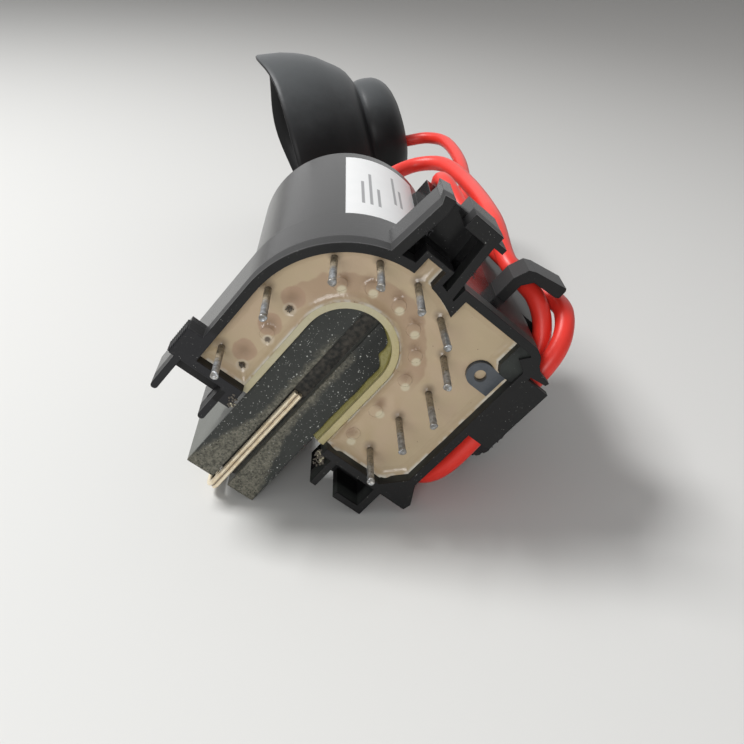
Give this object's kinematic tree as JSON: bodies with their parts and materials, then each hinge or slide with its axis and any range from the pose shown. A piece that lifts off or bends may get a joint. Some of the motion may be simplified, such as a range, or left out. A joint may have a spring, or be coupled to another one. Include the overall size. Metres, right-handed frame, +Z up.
{
  "type": "flyback transformer",
  "caption": "Flyback transformer with a ferrite core, potted windings, terminal pins, a focus and screen control pack and a high-voltage lead that ends in an anode cap.",
  "frame": {"origin": "on the surface that the part lies on, under the middle of the transformer's bounding box, the lead and its cap left out", "axes": "+X to the right as seen from the terminal side, +Y along the core's round leg from the terminals to the far end, +Z up"},
  "size_m": [0.0747, 0.1837, 0.0619],
  "materials": {
    "black_case": "satin",
    "potting_resin": "satin",
    "cream_plastic": "satin",
    "enamelled_wire": "gloss",
    "black_trim": "matte",
    "ferrite": "matte",
    "spacer_card": "matte",
    "clip_steel": "satin",
    "tinned_wire": "satin",
    "grey_tag": "satin",
    "divider_ceramic": "matte",
    "contact_brass": "satin",
    "label_paper": "satin",
    "black_rubber": "matte",
    "red_lead": "gloss"
  },
  "bodies": {
    "body": {"case": "black_case", "pack_cover": "black_case", "potting": "potting_resin", "lv_bobbin": "cream_plastic", "hv_bobbin": "cream_plastic", "primary_winding": "enamelled_wire", "hv_winding": "enamelled_wire", "hv_diodes": "black_trim", "core_front": "ferrite", "core_rear": "ferrite", "gap_spacers": "spacer_card", "core_clip": "clip_steel", "terminal_pins": "tinned_wire", "eyelet_tab": "grey_tag", "divider_plate": "divider_ceramic", "label": "label_paper", "hv_outlet": "black_rubber", "hv_lead": "red_lead", "anode_cap": "black_rubber", "anode_clip": "clip_steel"},
    "focus": {"focus_knob": "black_trim", "focus_wiper": "contact_brass"},
    "screen": {"screen_knob": "black_trim", "screen_wiper": "contact_brass"}
  },
  "joints": [
    {"name": "focus_turn", "type": "hinge", "parent": "body", "child": "focus", "pos_m": [0.02047, 0.0138, 0.0115], "axis": [0.7705, 0, -0.6375], "range_deg": [-135, 135]},
    {"name": "screen_turn", "type": "hinge", "parent": "body", "child": "screen", "pos_m": [0.02047, -0.0072, 0.0115], "axis": [0.7705, 0, -0.6375], "range_deg": [-135, 135]}
  ]
}
